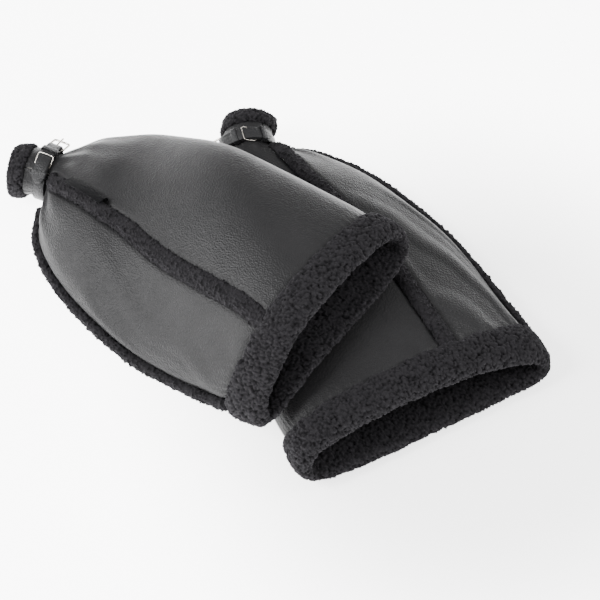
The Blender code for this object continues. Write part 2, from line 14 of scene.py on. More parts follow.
import bpy
import numpy as np
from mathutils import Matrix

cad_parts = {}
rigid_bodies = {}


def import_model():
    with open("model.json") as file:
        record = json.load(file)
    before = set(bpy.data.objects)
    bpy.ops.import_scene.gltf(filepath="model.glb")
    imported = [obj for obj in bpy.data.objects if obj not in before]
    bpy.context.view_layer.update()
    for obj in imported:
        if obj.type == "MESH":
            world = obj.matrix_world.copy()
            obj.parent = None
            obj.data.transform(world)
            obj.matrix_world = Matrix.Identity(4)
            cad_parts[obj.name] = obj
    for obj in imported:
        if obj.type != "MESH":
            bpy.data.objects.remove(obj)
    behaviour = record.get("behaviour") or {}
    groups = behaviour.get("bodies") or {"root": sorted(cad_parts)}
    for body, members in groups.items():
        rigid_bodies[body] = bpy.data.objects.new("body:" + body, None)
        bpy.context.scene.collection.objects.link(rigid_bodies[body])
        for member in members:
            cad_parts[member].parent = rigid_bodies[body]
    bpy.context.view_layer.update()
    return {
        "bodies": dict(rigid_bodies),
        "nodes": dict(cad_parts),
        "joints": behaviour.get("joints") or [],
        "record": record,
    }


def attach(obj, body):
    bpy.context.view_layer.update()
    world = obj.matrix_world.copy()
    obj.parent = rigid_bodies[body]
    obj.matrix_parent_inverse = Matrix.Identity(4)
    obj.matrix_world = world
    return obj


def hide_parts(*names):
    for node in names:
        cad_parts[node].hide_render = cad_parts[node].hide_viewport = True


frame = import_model()

MM = 0.001

# ---------------------------------------------------------------- shape, as in the CAD
MUFF_ANGLE = math.radians(12.6)
RIGHT_NECK = (-0.1220, 0.0964)
LEFT_NECK = (-0.2312, -0.1105)
# Each row in mm: side seam (x, y), folded edge (x, y), lowest and highest leather.
ROWS = (
    (-9.4, 26.4, -32.6, -17.4, 5.5, 48),
    (2.4, 18.9, -17.4, -28.9, 5, 49.5),
    (11, 14, -8, -34, 5, 49),
    (19.5, 12, 0.5, -36, 5, 49),
    (28, 10, 9, -38, 5, 49),
    (38, 30, 21, -60, 3.5, 52),
    (52, 53, 40, -86, 1, 60),
    (84, 76, 80, -108, 0, 71),
    (135, 98, 135, -118, 0, 75),
    (210, 118, 200, -124, 0, 75),
    (300, 126, 300, -131, 3, 73),
    (336, 127, 335, -131, 6.5, 72),
    (376, 126, 370, -131, 7.5, 70),
)
BODY_SECTION = (
    (1.00, 0.27), (0.90, 0.57), (0.50, 0.88),
    (0.00, 1.00), (-0.47, 0.97), (-0.86, 0.80),
    (-1.00, 0.46), (-0.91, 0.13), (-0.50, 0.00),
    (0.00, 0.00), (0.50, 0.00), (0.91, 0.05),
)
SECTION_POINTS = 12
CREST = 3.0
UNDERNEATH = 9.0
LAYER_SPLIT = 6.9
NECK_ENDS = 3.5
BODY_STARTS = 7.0
MOUTH_SLANT = 22 * MM
SLANT_STARTS = 9.5
SLANT_ENDS = 12.0
RIGHT_SEAM = ((0, 1.7), (4.6, 1.7), (6, 2.15), (7, 2.3), (12, 2.3))
LEFT_SEAM = ((0, 2.2), (4.6, 2.2), (6, 2.42), (8, 2.55), (12, 2.0))
DRAPE_HEIGHT = 67 * MM
DRAPE_NECK_SHARE = 0.9
DRAPE_NECK_LENGTH = 200 * MM
DRAPE_SQUASH = 0.25
DRAPE_OUTSIDE = 105 * MM
DRAPE_WIDTH = 160 * MM
DRAPE_EDGE_NECK = 30 * MM
DRAPE_EDGE_SPREAD = 100 * MM
DRAPE_EDGE_LENGTH = 88 * MM
DRAPE_EDGE_START = -10 * MM
DRAPE_EDGE_ROUNDING = 30 * MM
LEATHER = 1.5 * MM
WADDING_TOP = 2.0 * MM
WADDING_BOTTOM = 4.5 * MM
LINING_TOP = 5.0 * MM
LINING_BOTTOM = 10.0 * MM
LEATHER_STARTS = 1.0
LEATHER_ENDS = 10.97
TRIM_STARTS = 4.6
STEP = 0.02

# ---------------------------------------------------------------- strap, as in the CAD
STRAP_ROW = 3.0
STRAP_WIDTH = 14 * MM
STRAP_THICKNESS = 1.4 * MM
STRAP_LOW = 2.25 * MM
STRAP_HIGH = 5.15 * MM
STRAP_HUMP = 7.0 * MM
STRAP_START = 4.72
STRAP_END = 1.3
BUCKLE_AT = 5.0
HUMP_RISES = 6.0
HUMP_FALLS = 4.2
BAR_HEIGHT = 3.2 * MM
BUCKLE_WIRE = 1.1 * MM
BUCKLE_HALF_WIDTH = 8.7 * MM
BUCKLE_LENGTH = 16 * MM
BUCKLE_TILT = math.radians(30)
PRONG_TILT = math.radians(40)
PRONG_WIRE = 0.95 * MM
PRONG_LENGTH = 17.8 * MM
PRONG_EYE = 1.9 * MM
KEEPER_AT = 3.95
KEEPER_WIDTH = 6 * MM
KEEPER_WALL = 0.8 * MM
KEEPER_GAP = 0.6 * MM
RING_AT = 3.0
RING_WIRE = 0.45 * MM
RING_HALF_WIDTH = 8.5 * MM
RING_LENGTH = 13.4 * MM
RING_CORNER = 2.6 * MM
RING_HEIGHT = 3.2 * MM
RING_TILT = math.radians(27)
SLIDING_KEEPER_AT = 1.95
CHAPE_WIDTH = 13 * MM

# ---------------------------------------------------------------- fineness of the visible pieces
LEATHER_STEP = 1.8 * MM
FLEECE_STEP = 0.7 * MM
LINING_STEP = 1.9 * MM
WADDING_STEP = 4 * MM

# ---------------------------------------------------------------- visible pieces only
SEAM_OPENS = 4.6
SEAM_OPEN = 4.85
STITCHED_GAP = 0.5 * MM
CREST_SEAM_GAP = 7.0 * MM
SIDE_SEAM_GAP = 5.0 * MM
FOLD_GAP = 0.05 * MM
LINING_GAP = 0.8 * MM
WADDING_SIDE_GAP = 10.5 * MM
WADDING_FOLD_GAP = 3.5 * MM
WADDING_SLACK = 0.3 * MM
LINING_ENDS = 10.98
WADDING_ENDS = 10.95
PIPING_ENDS = 11.05
CUFF_CLEARANCE = 0.03
CUFF_PILE = 4.4 * MM
COLLAR_PILE = 4.0 * MM
CENTRE_PILE = 3.8 * MM
SIDE_PILE = 3.4 * MM
SIDE_PIPING_RADIUS = 5.9 * MM
SIDE_PIPING_LIFT = 1.5 * MM
BUCKLE_CORNER = 2.2 * MM
KEEPER_CORNER = 1.0 * MM
STITCH_RADIUS = 0.26 * MM
STITCH_LINE = 5.5 * MM
CHAPE_RADIUS = 2.0 * MM
CHAPE_HALF_THICKNESS = 0.42 * MM
CHAPE_SLOT = 1.9 * MM
TAB_STARTS = 6.3
TAB_ENDS = 7.45
TAB_THICKNESS = 0.9 * MM

# ---------------------------------------------------------------- light and camera
WORLD_STRENGTH = 1.0
KEY_LIGHT = ((-0.75, -1.35, 1.5), 0.9, 72.0)
RIM_LIGHT = ((0.9, 1.2, 1.1), 0.8, 16.0)
LIGHT_TARGET = (0.0, 0.0, 0.03)
FLOOR_HALF = 4.0
FLOOR_LEVEL = -0.0006
# Floor glow, painted light on the floor: weakest near SHADOW_SIDE, where the shadows fall,
# strongest beyond the far end of GLOW_RANGE.
SHADOW_SIDE = (0.2268, 0.0832, 0.0)
GLOW_RANGE = (0.13, 0.38)
GLOW_STRENGTH = (2.4, 7.0)
CAMERA_TARGET = (0.0463, 0.0142, 0.0)
CAMERA_ELEVATION = math.radians(60)
CAMERA_AZIMUTH = math.radians(49.5)
CAMERA_DISTANCE = 1.417


def smoothstep(t):
    t = np.clip(t, 0.0, 1.0)
    return t * t * (3.0 - 2.0 * t)


def catmull_rom(points, t, periodic=False):
    """Points at t of the smooth curve through points, where t counts the points."""
    points = np.asarray(points, float)
    t = np.asarray(t, float)
    count = len(points)
    i = np.floor(t).astype(int)
    if periodic:
        p0, p1, p2, p3 = (points[(i + k) % count] for k in (-1, 0, 1, 2))
    else:
        i = np.clip(i, 0, count - 2)
        longer = np.vstack([2 * points[0] - points[1], points, 2 * points[-1] - points[-2]])
        p0, p1, p2, p3 = (longer[i + k] for k in range(4))
    u = (t - i)[..., None]
    return 0.5 * (2 * p1 + (p2 - p0) * u + (2 * p0 - 5 * p1 + 4 * p2 - p3) * u ** 2
                  + (3 * p1 - p0 - 3 * p2 + p3) * u ** 3)


def neck_section():
    """An ellipse with the same twelve points as BODY_SECTION."""
    turn = [2 * math.pi * i / SECTION_POINTS for i in range(SECTION_POINTS)]
    return [(math.cos(a), 0.5 + 0.5 * math.sin(a)) for a in turn]


def unit(vectors):
    return vectors / np.maximum(np.linalg.norm(vectors, axis=-1, keepdims=True), 1e-12)


def drape_lift(x, y):
    """How far the left muff is raised by the right muff under it."""
    c, n = math.cos(-MUFF_ANGLE), math.sin(-MUFF_ANGLE)
    dx, dy = x - RIGHT_NECK[0], y - RIGHT_NECK[1]
    along = dx * c + dy * n
    sideways = -dx * n + dy * c
    past = along - DRAPE_EDGE_START
    past = (past + np.hypot(past, DRAPE_EDGE_ROUNDING)) / 2
    spread = DRAPE_EDGE_SPREAD * (1 - np.exp(-past / DRAPE_EDGE_LENGTH))
    inside = sideways + DRAPE_EDGE_NECK + spread
    full = smoothstep(along / DRAPE_NECK_LENGTH)
    share = DRAPE_NECK_SHARE + (1.0 - DRAPE_NECK_SHARE) * full
    return DRAPE_HEIGHT * share * smoothstep((inside + DRAPE_OUTSIDE) / DRAPE_WIDTH)


class Muff:
    """Maps a muff's own coordinates to the world, for arrays of them at once."""

    def __init__(self, name, neck, angle, side, height, length, squeeze, seam, draped):
        self.name = name
        self.neck = neck
        self.angle = angle
        self.side = side
        self.height = height
        self.length = length
        self.squeeze = squeeze
        self.seam = seam
        self.draped = draped
        self.body = name + "_muff"

    def crest_seam(self, s):
        """v of the centre piping at row s."""
        rows, values = zip(*self.seam)
        return np.interp(s, rows, values)

    def surface(self, s, v):
        """Leather's outer face in the muff's own frame, before mirroring."""
        row = catmull_rom(ROWS, s) * MM
        seam_x, seam_y, fold_x, fold_y, low, high = np.moveaxis(row, -1, 0)
        squeezed = self.squeeze * np.maximum(seam_x, 0.0)
        seam_x = seam_x * (1.0 - squeezed / 10)
        seam_y = seam_y * (1.0 - squeezed)
        body = smoothstep((s - NECK_ENDS) / (BODY_STARTS - NECK_ENDS))
        round_part = catmull_rom(neck_section(), v, True)
        flat_part = catmull_rom(BODY_SECTION, v, True)
        q, k = np.moveaxis(round_part * (1 - body)[..., None] + flat_part * body[..., None], -1, 0)
        k = np.maximum(k, 0.0)
        slant = smoothstep((s - SLANT_STARTS) / (SLANT_ENDS - SLANT_STARTS))
        x = (seam_x + fold_x) / 2 + (seam_x - fold_x) / 2 * q - MOUTH_SLANT * slant * (k - 0.5)
        y = (seam_y + fold_y) / 2 + (seam_y - fold_y) / 2 * q
        z = low + (high - low) * k * (1.0 + (self.height - 1.0) * body)
        return np.stack((x * self.length, y, z), -1)

    def to_world(self, own):
        x, y, z = np.moveaxis(own, -1, 0)
        y = y * self.side
        c, n = math.cos(self.angle), math.sin(self.angle)
        wx = self.neck[0] + x * c - y * n
        wy = self.neck[1] + x * n + y * c
        if self.draped:
            lift = drape_lift(wx, wy)
            z = lift + z * (1.0 - DRAPE_SQUASH * lift / DRAPE_HEIGHT)
        return np.stack((wx, wy, z), -1)

    def point(self, s, v, depth=0.0):
        s, v, depth = np.broadcast_arrays(np.asarray(s, float), np.asarray(v, float), depth)
        along = self.surface(s + STEP, v) - self.surface(s - STEP, v)
        around = self.surface(s, v + STEP) - self.surface(s, v - STEP)
        outward = unit(np.cross(around, along))
        return self.to_world(self.surface(s, v) - outward * depth[..., None])

    def v_step(self, s, v, distance):
        """How far v moves for a distance along the section."""
        s, v = np.broadcast_arrays(np.asarray(s, float), np.asarray(v, float))
        span = np.linalg.norm(self.surface(s, v + STEP) - self.surface(s, v - STEP), axis=-1)
        return distance / span * 2 * STEP


RIGHT = Muff("right", RIGHT_NECK, -MUFF_ANGLE, 1, 0.76, 0.97, 0.0, RIGHT_SEAM, False)
LEFT = Muff("left", LEFT_NECK, MUFF_ANGLE, -1, 0.95, 1.0, 0.9, LEFT_SEAM, True)


# ---------------------------------------------------------------- noise
def lattice(cells, seed):
    """A repeatable number from 0 to 1 for each cell of a lattice."""
    h = cells[..., 0] * 73856093 ^ cells[..., 1] * 19349663 ^ cells[..., 2] * 83492791 ^ seed * 7919
    h = ((h & 0xFFFFFFFF) ^ (h >> 13 & 0x7FFFF)) * 1274126177 & 0xFFFFFFFF
    h = (h ^ h >> 16) * 2246822519 & 0xFFFFFFFF
    return (h >> 8 & 0xFFFF) / 0xFFFF


def value_noise(points, size, seed):
    """Smooth noise from -1 to 1 with features of about that size."""
    q = points / size
    base = np.floor(q).astype(np.int64)
    f = smoothstep(q - base)
    total = np.zeros(points.shape[:-1])
    for corner in itertools.product((0, 1), repeat=3):
        weight = np.ones(points.shape[:-1])
        for axis, side in enumerate(corner):
            weight = weight * (f[..., axis] if side else 1 - f[..., axis])
        total += weight * lattice(base + np.array(corner), seed)
    return total * 2 - 1


def nubs(points, size, seed):
    """Rounded knobs of about that size, from 0 between them to 1 on top."""
    q = points / size
    base = np.floor(q).astype(np.int64)
    nearest = np.full(points.shape[:-1], 9.0)
    for offset in itertools.product((-1, 0, 1), repeat=3):
        cell = base + np.array(offset)
        centre = cell + np.stack([lattice(cell, seed + k) for k in range(3)], -1)
        nearest = np.minimum(nearest, ((q - centre) ** 2).sum(-1))
    return np.clip(1.0 - nearest / 0.85, 0.0, 1.0) ** 0.75


def curls(points, seed):
    """Height of a curly pile, from 0 to 1."""
    warp = np.stack([value_noise(points, 2.4 * MM, seed + k) for k in (11, 12, 13)], -1)
    bent = points + warp * 1.0 * MM
    return 0.6 * nubs(bent, 3.0 * MM, seed) + 0.4 * nubs(bent, 1.7 * MM, seed + 5)


# ---------------------------------------------------------------- meshes
def new_object(name, points, quads, material, tris=(), pile=None):
    """A closed mesh with its faces turned outwards."""
    points = np.asarray(points, float).reshape(-1, 3)
    quads = np.asarray(quads, np.int64).reshape(-1, 4)
    tris = np.asarray(tris, np.int64).reshape(-1, 3)
    every = np.vstack([quads[:, [0, 1, 2]], quads[:, [0, 2, 3]], tris])
    a, b, c = (points[every[:, k]] for k in range(3))
    if (a * np.cross(b, c)).sum() < 0:
        quads, tris = quads[:, ::-1], tris[:, ::-1]
    mesh = bpy.data.meshes.new(name)
    mesh.vertices.add(len(points))
    mesh.vertices.foreach_set("co", points.ravel())
    mesh.loops.add(quads.size + tris.size)
    mesh.loops.foreach_set("vertex_index", np.concatenate([quads.ravel(), tris.ravel()]))
    mesh.polygons.add(len(quads) + len(tris))
    starts = np.concatenate([np.arange(len(quads)) * 4, quads.size + np.arange(len(tris)) * 3])
    mesh.polygons.foreach_set("loop_start", starts)
    mesh.update(calc_edges=True)
    mesh.validate()
    mesh.shade_smooth()
    if pile is not None:
        mesh.attributes.new("pile", "FLOAT", "POINT").data.foreach_set("value", np.ravel(pile))
    mesh.materials.append(material)
    obj = bpy.data.objects.new(name, mesh)
    bpy.context.scene.collection.objects.link(obj)
    return obj


def grid_quads(rows, columns, start=0, wrap_rows=False, wrap_columns=False):
    i = np.arange(rows if wrap_rows else rows - 1)[:, None]
    j = np.arange(columns if wrap_columns else columns - 1)[None, :]
    a = i * columns + j
    b = i * columns + (j + 1) % columns
    c = (i + 1) % rows * columns + (j + 1) % columns
    d = (i + 1) % rows * columns + j
    return np.stack(np.broadcast_arrays(a, b, c, d), -1).reshape(-1, 4) + start


def slab(name, top, bottom, material, pile=None):
    """A sheet between two grids of points, closed around its rim."""
    rows, count = top.shape[:2]
    size = rows * count
    rim = np.concatenate([
        np.arange(count), np.arange(1, rows) * count + count - 1,
        (rows - 1) * count + np.arange(count - 2, -1, -1), np.arange(rows - 2, 0, -1) * count])
    after = np.roll(rim, -1)
    quads = np.vstack([
        grid_quads(rows, count), grid_quads(rows, count, size)[:, ::-1],
        np.stack([after, rim, rim + size, after + size], -1)])
    if pile is not None:
        pile = np.concatenate([np.full(size, 0.5), np.ravel(pile)])
    points = np.vstack([top.reshape(-1, 3), bottom.reshape(-1, 3)])
    return new_object(name, points, quads, material, pile=pile)


def tube(name, rings, material, closed=False, pile=None):
    """A body through rings of points, closed on itself or with its ends filled."""
    rows, sides = rings.shape[:2]
    points = rings.reshape(-1, 3)
    quads = grid_quads(rows, sides, 0, closed, True)
    tris = []
    if not closed:
        last = len(points) - sides
        points = np.vstack([points, rings[0].mean(0), rings[-1].mean(0)])
        for j in range(sides):
            k = (j + 1) % sides
            tris += [(k, j, last + sides), (last + j, last + k, last + sides + 1)]
        if pile is not None:
            pile = np.concatenate([np.ravel(pile), [0.5, 0.5]])
    return new_object(name, points, quads, material, tris, pile)


def finished(obj, body, nodes):
    """The piece rides on a body and stands for its CAD nodes."""
    if nodes:
        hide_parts(*nodes)
    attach(obj, body)
    return obj


def grid_normals(points, wrap_rows):
    """Unit normals, outward or inward, of a grid of points whose rows are closed rings."""
    if wrap_rows:
        along = np.roll(points, -1, 0) - np.roll(points, 1, 0)
    else:
        along = np.gradient(points, axis=0)
    return unit(np.cross(along, np.roll(points, -1, 1) - np.roll(points, 1, 1)))


def resampled(points, spacing, closed):
    """The same polyline with evenly spaced points, in any number of dimensions."""
    points = np.asarray(points, float)
    if closed:
        points = np.vstack([points, points[:1]])
    length = np.concatenate([[0], np.cumsum(np.linalg.norm(np.diff(points, axis=0), axis=-1))])
    count = max(4, int(round(length[-1] / spacing)))
    at = np.linspace(0, length[-1], count + 1)
    if closed:
        at = at[:-1]
    return np.stack([np.interp(at, length, points[:, k]) for k in range(points.shape[1])], -1)


def even_rows(muff, start, end, v, spacing):
    """Values of s from start to end whose points on the line of v are evenly spaced."""
    s = np.linspace(start, end, 400)
    world = muff.point(s, np.full_like(s, v))
    length = np.concatenate([[0], np.cumsum(np.linalg.norm(np.diff(world, axis=0), axis=-1))])
    count = int(round(length[-1] / spacing))
    return np.interp(np.linspace(0, length[-1], count + 1), length, s)


def fleecy(points, height, seed, outward, wrap_rows=False):
    """Grid points raised into a curly pile of that height, and the pile's level from 0 to 1."""
    normals = grid_normals(points, wrap_rows) * outward
    level = curls(points, seed)
    clump = value_noise(points, 11 * MM, seed + 31)
    lean = np.stack([value_noise(points, 2.6 * MM, seed + k) for k in (41, 42, 43)], -1)
    raised = points + normals * ((level - 0.55) * height + clump * height * 0.18)[..., None]
    return raised + lean * (0.5 * MM * level)[..., None], level


# ---------------------------------------------------------------- materials
class Nodes:
    """Short way to add shader nodes and join them."""

    def __init__(self, name):
        self.material = bpy.data.materials.new(name)
        self.material.use_nodes = True
        self.tree = self.material.node_tree
        self.shader = self.tree.nodes["Principled BSDF"]
        self.place = self.add("ShaderNodeTexCoord").outputs["Object"]

    def add(self, kind, **settings):
        node = self.tree.nodes.new(kind)
        for key, value in settings.items():
            if key in node.inputs:
                node.inputs[key].default_value = value
            else:
                setattr(node, key, value)
        return node

    def join(self, output, socket):
        self.tree.links.new(output, socket)

    def noise(self, size, detail=3.0, roughness=0.5):
        node = self.add("ShaderNodeTexNoise")
        node.inputs["Scale"].default_value = 1.0 / size
        node.inputs["Detail"].default_value = detail
        node.inputs["Roughness"].default_value = roughness
        self.join(self.place, node.inputs["Vector"])
        return node.outputs["Fac"]

    def cells(self, size, feature="F1"):
        node = self.add("ShaderNodeTexVoronoi", feature=feature)
        node.inputs["Scale"].default_value = 1.0 / size
        self.join(self.place, node.inputs["Vector"])
        return node.outputs["Distance"]

    def ramp(self, factor, stops):
        node = self.add("ShaderNodeValToRGB")
        band = node.color_ramp
        while len(band.elements) < len(stops):
            band.elements.new(0.5)
        for element, (position, color) in zip(band.elements, stops):
            element.position = position
            element.color = (*(color if isinstance(color, tuple) else (color,) * 3), 1.0)
        self.join(factor, node.inputs["Fac"])
        return node.outputs["Color"]

    def mix(self, factor, a, b):
        node = self.add("ShaderNodeMix", data_type="RGBA")
        for value, place in ((factor, 0), (a, 6), (b, 7)):
            socket = node.inputs[place]
            if hasattr(value, "links"):
                self.join(value, socket)
            else:
                socket.default_value = value if np.isscalar(value) else (*value, 1.0)
        return node.outputs[2]

    def math(self, operation, *values):
        node = self.add("ShaderNodeMath", operation=operation)
        for value, socket in zip(values, node.inputs):
            if hasattr(value, "links"):
                self.join(value, socket)
            else:
                socket.default_value = value
        return node.outputs[0]

    def bump(self, height, distance, strength, after=None):
        node = self.add("ShaderNodeBump")
        node.inputs["Distance"].default_value = distance
        node.inputs["Strength"].default_value = strength
        self.join(height, node.inputs["Height"])
        if after is not None:
            self.join(after, node.inputs["Normal"])
        return node.outputs["Normal"]

    def finish(self, color, roughness, normal):
        self.join(color, self.shader.inputs["Base Color"])
        if hasattr(roughness, "links"):
            self.join(roughness, self.shader.inputs["Roughness"])
        else:
            self.shader.inputs["Roughness"].default_value = roughness
        if normal is not None:
            self.join(normal, self.shader.inputs["Normal"])
        return self.material


def leather_material(name, dark, light, rough):
    nodes = Nodes(name)
    nodes.shader.inputs["Specular IOR Level"].default_value = 0.25
    brightness = nodes.noise(45 * MM, 4.0, 0.55)
    color = nodes.ramp(brightness, ((0.3, dark), (0.7, light)))
    grain = nodes.cells(1.6 * MM)
    fine = nodes.noise(0.45 * MM, 3.0, 0.6)
    creases = nodes.noise(9 * MM, 5.0, 0.6)
    normal = nodes.bump(grain, 0.5 * MM, 0.85)
    normal = nodes.bump(fine, 0.1 * MM, 0.5, normal)
    normal = nodes.bump(creases, 0.35 * MM, 0.35, normal)
    wear = nodes.math("MULTIPLY_ADD", nodes.noise(14 * MM, 3.0), 0.16, rough - 0.08)
    return nodes.finish(color, wear, normal)


# The second argument scales every colour of the fleece; the lining's low value is painted shade.
def fleece_material(name, brightness):
    nodes = Nodes(name)
    pile = nodes.add("ShaderNodeAttribute", attribute_name="pile").outputs["Fac"]
    # Colour by pile height: painted shade in the hollows between the curls, painted light on the
    # curls' tips.
    color = nodes.ramp(pile, ((0.10, (0.0015 * brightness, 0.0014 * brightness, 0.0016 * brightness)),
                              (0.50, (0.0065 * brightness, 0.0062 * brightness, 0.0070 * brightness)),
                              (0.90, (0.022 * brightness, 0.0208 * brightness, 0.0230 * brightness))))
    strands = nodes.noise(0.7 * MM, 4.0, 0.7)
    # Lighter strands at random places: painted highlights on the fibres.
    color = nodes.mix(nodes.ramp(strands, ((0.4, 0.0), (0.75, 0.35))), color,
                      (0.034 * brightness, 0.0325 * brightness, 0.0355 * brightness))
    shader = nodes.shader
    shader.inputs["Specular IOR Level"].default_value = 0.1
    shader.inputs["Sheen Weight"].default_value = 0.06 * brightness
    shader.inputs["Sheen Roughness"].default_value = 0.45
    shader.inputs["Sheen Tint"].default_value = (0.55, 0.54, 0.58, 1.0)
    return nodes.finish(color, 0.92, nodes.bump(strands, 0.5 * MM, 0.8))


def metal_material():
    nodes = Nodes("polished_nickel")
    nodes.shader.inputs["Metallic"].default_value = 1.0
    color = nodes.ramp(nodes.noise(4 * MM), ((0.3, (0.34, 0.32, 0.29)), (0.7, (0.50, 0.47, 0.43))))
    scratches = nodes.noise(1.2 * MM, 5.0, 0.7)
    rough = nodes.math("MULTIPLY_ADD", scratches, 0.18, 0.1)
    return nodes.finish(color, rough, nodes.bump(scratches, 0.03 * MM, 0.3))


def thread_material():
    nodes = Nodes("sewing_thread")
    color = nodes.ramp(nodes.noise(0.8 * MM), ((0.3, 0.006), (0.7, 0.018)))
    return nodes.finish(color, 0.75, nodes.bump(nodes.noise(0.3 * MM), 0.1 * MM, 0.6))


def wadding_material():
    nodes = Nodes("pale_wadding")
    fibres = nodes.noise(2 * MM, 6.0, 0.7)
    color = nodes.ramp(fibres, ((0.3, (0.40, 0.39, 0.37)), (0.7, (0.56, 0.55, 0.52))))
    return nodes.finish(color, 0.95, nodes.bump(fibres, 0.8 * MM, 0.7))


def label_material():
    nodes = Nodes("woven_tab")
    weave = []
    for direction in ("X", "Y"):
        wave = nodes.add("ShaderNodeTexWave", bands_direction=direction)
        wave.inputs["Scale"].default_value = 650.0
        wave.inputs["Distortion"].default_value = 0.4
        nodes.join(nodes.place, wave.inputs["Vector"])
        weave.append(wave.outputs["Fac"])
    nodes.shader.inputs["Specular IOR Level"].default_value = 0.08
    threads = nodes.math("MULTIPLY", weave[0], weave[1])
    color = nodes.ramp(threads, ((0.1, (0.003, 0.003, 0.0035)), (0.9, (0.010, 0.010, 0.011))))
    return nodes.finish(color, 0.7, nodes.bump(threads, 0.2 * MM, 0.8))


def floor_material():
    """White table that glows to white as painted light, and glows less on the side where the
    shadows fall, as painted shade.
    """
    nodes = Nodes("pale_floor")
    color = nodes.ramp(nodes.noise(400 * MM, 2.0), ((0.3, 0.95), (0.7, 0.97)))
    nodes.shader.inputs["Specular IOR Level"].default_value = 0.1
    nodes.shader.inputs["Emission Color"].default_value = (1.0, 1.0, 1.0, 1.0)
    # Glow strength grows with distance from SHADOW_SIDE: painted light that whitens the floor,
    # weakest where the shadows fall.
    away = nodes.add("ShaderNodeVectorMath", operation="DISTANCE")
    nodes.join(nodes.place, away.inputs[0])
    away.inputs[1].default_value = SHADOW_SIDE
    glow = nodes.add("ShaderNodeMapRange", interpolation_type="SMOOTHSTEP")
    for ends, kind in ((GLOW_RANGE, "From"), (GLOW_STRENGTH, "To")):
        glow.inputs[kind + " Min"].default_value = ends[0]
        glow.inputs[kind + " Max"].default_value = ends[1]
    nodes.join(away.outputs["Value"], glow.inputs["Value"])
    nodes.join(glow.outputs["Result"], nodes.shader.inputs["Emission Strength"])
    return nodes.finish(color, 0.85, None)


LEATHER_LOOK = leather_material("panel_leather", (0.0085, 0.0083, 0.0090),
                                (0.0135, 0.0132, 0.0140), 0.48)
STRAP_LOOK = leather_material("strap_leather", (0.010, 0.010, 0.011), (0.017, 0.017, 0.018), 0.42)
FLEECE_LOOK = fleece_material("curly_fleece", 0.85)
# The lining is the same fleece made much darker: painted shade inside the muffs, where little light
# reaches.
SHADED_LINING_LOOK = fleece_material("lining_fleece", 0.2)
METAL_LOOK = metal_material()
THREAD_LOOK = thread_material()
WADDING_LOOK = wadding_material()
LABEL_LOOK = label_material()


# ---------------------------------------------------------------- leather panels
def seam_gap(s, full):
    """A panel's distance from its seam, small at the neck and full where piping fills it."""
    return np.interp(s, (SEAM_OPENS, SEAM_OPEN), (STITCHED_GAP, full))


def side_limits(muff, s):
    seam = muff.crest_seam(s)
    return (muff.v_step(s, 0.0, seam_gap(s, SIDE_SEAM_GAP)),
            seam - muff.v_step(s, seam, seam_gap(s, CREST_SEAM_GAP)))


def main_limits(muff, s):
    seam = muff.crest_seam(s)
    return (seam + muff.v_step(s, seam, seam_gap(s, CREST_SEAM_GAP)),
            LAYER_SPLIT - muff.v_step(s, LAYER_SPLIT, FOLD_GAP))


def bottom_limits(muff, s):
    return (LAYER_SPLIT + muff.v_step(s, LAYER_SPLIT, FOLD_GAP),
            SECTION_POINTS - muff.v_step(s, 0.0, seam_gap(s, SIDE_SEAM_GAP)))


def panel_grid(muff, limits, start, end, spacing):
    """Grids of s and v over a panel, and the distance in metres from its nearer long edge."""
    s = even_rows(muff, start, end, 4.0, spacing)
    low, high = limits(muff, s)
    middle = muff.point(9.0, np.linspace(*limits(muff, np.array(9.0)), 60))
    width = np.linalg.norm(np.diff(middle, axis=0), axis=-1).sum()
    count = int(round(width / spacing))
    share = np.linspace(0, 1, count + 1)[None, :]
    v = low[:, None] + (high - low)[:, None] * share
    s = np.repeat(s[:, None], count + 1, axis=1)
    world = muff.point(s, v)
    across = np.linalg.norm(np.diff(world, axis=1), axis=-1)
    run = np.concatenate([np.zeros((len(s), 1)), np.cumsum(across, axis=1)], axis=1)
    edge = np.minimum(run, run[:, -1:] - run)
    return s, v, edge, world


def leather_relief(muff, kind, s, v, edge, world):
    """How far the leather stands out of its plain surface, with its folds and gathers."""
    seed = {"side": 3, "main": 5, "bottom": 7}[kind] + (20 if muff is RIGHT else 0)
    stretched = world * np.array([1.0, 1.6, 1.0])
    relief = 0.6 * MM * value_noise(stretched, 70 * MM, seed)
    relief += 0.16 * MM * value_noise(world, 21 * MM, seed + 1)
    near_neck = np.exp(-((s - 5.3) / 1.1) ** 2)
    gathers = np.sin(v * 7.5 + 2.2 * value_noise(world, 40 * MM, seed + 2))
    relief += (1.3 if kind == "side" else 0.7) * MM * near_neck * gathers
    near_cuff = np.exp(-np.maximum(LEATHER_ENDS - s, 0) / 0.45)
    pucker = np.sin(v * 34 + 3.0 * value_noise(world, 22 * MM, seed + 3))
    relief += 0.35 * MM * near_cuff * pucker
    if kind == "side":
        folds = np.sin((s * 1.9 + v * 4.2) * 1.7 + 1.6 * value_noise(world, 45 * MM, seed + 4))
        strength = 1.3 if muff is RIGHT else 0.7
        relief += strength * MM * smoothstep((s - 7.2) / 1.6) * np.maximum(folds, -0.3)
    relief -= 1.5 * MM * (1 - smoothstep(edge / (5 * MM)))
    relief -= 1.2 * MM * smoothstep((s - 10.72) / 0.22)
    return relief


def leather_panel(muff, kind, limits):
    s, v, edge, world = panel_grid(muff, limits, LEATHER_STARTS, LEATHER_ENDS, LEATHER_STEP)
    relief = leather_relief(muff, kind, s, v, edge, world)
    fade = smoothstep((s - 3.9) / 0.7)
    relief = relief * fade
    if kind == "bottom":
        relief = np.minimum(relief, 0.0)
    name = muff.name + "_" + kind + "_leather"
    obj = slab(name, muff.point(s, v, -relief), muff.point(s, v, LEATHER - relief), LEATHER_LOOK)
    finished(obj, muff.body, [muff.name + "_" + kind + "_panel"])


